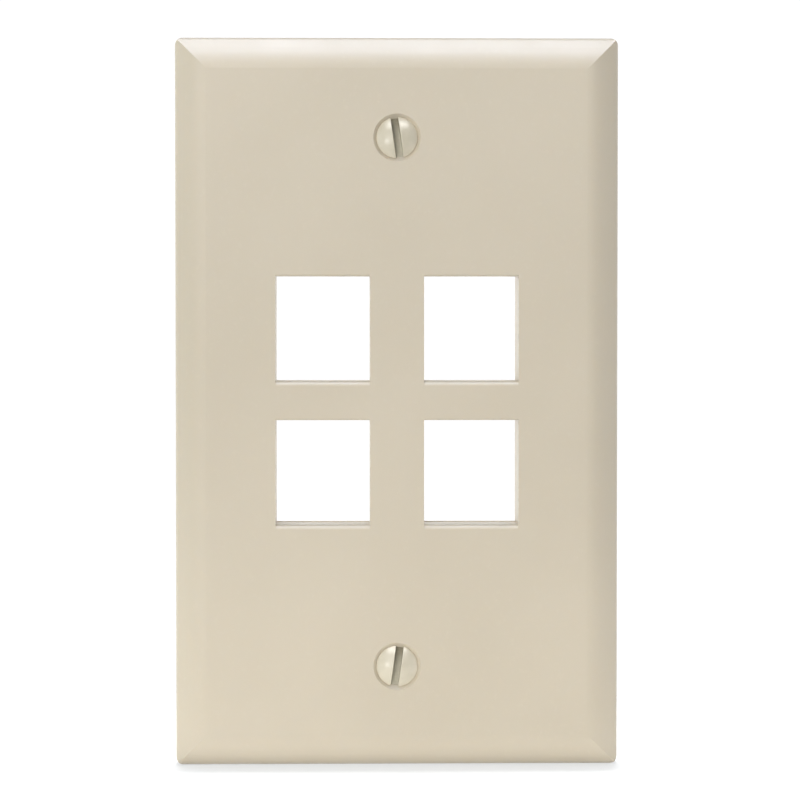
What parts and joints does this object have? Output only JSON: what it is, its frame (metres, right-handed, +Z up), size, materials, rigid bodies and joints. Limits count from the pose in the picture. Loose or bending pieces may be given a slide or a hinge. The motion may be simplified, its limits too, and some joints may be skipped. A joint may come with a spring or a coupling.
{
  "type": "keystone faceplate",
  "caption": "Single-gang wall plate in ivory plastic with bevelled edges, square openings for snap-in jacks, stepped rear housings and oval-head mounting screws.",
  "frame": {"origin": "on the wall plane, midway between the two mounting screws", "axes": "+X to the right as the plate is seen on its wall, +Y into the wall, +Z up"},
  "size_m": [0.07, 0.0201, 0.115],
  "materials": {
    "ivory_plastic": "moulded ivory plastic, satin gloss",
    "ivory_paint": "glossy ivory paint on steel"
  },
  "bodies": {
    "root": {"faceplate": "ivory_plastic", "upper_screw": "ivory_paint", "lower_screw": "ivory_paint"}
  },
  "joints": []
}
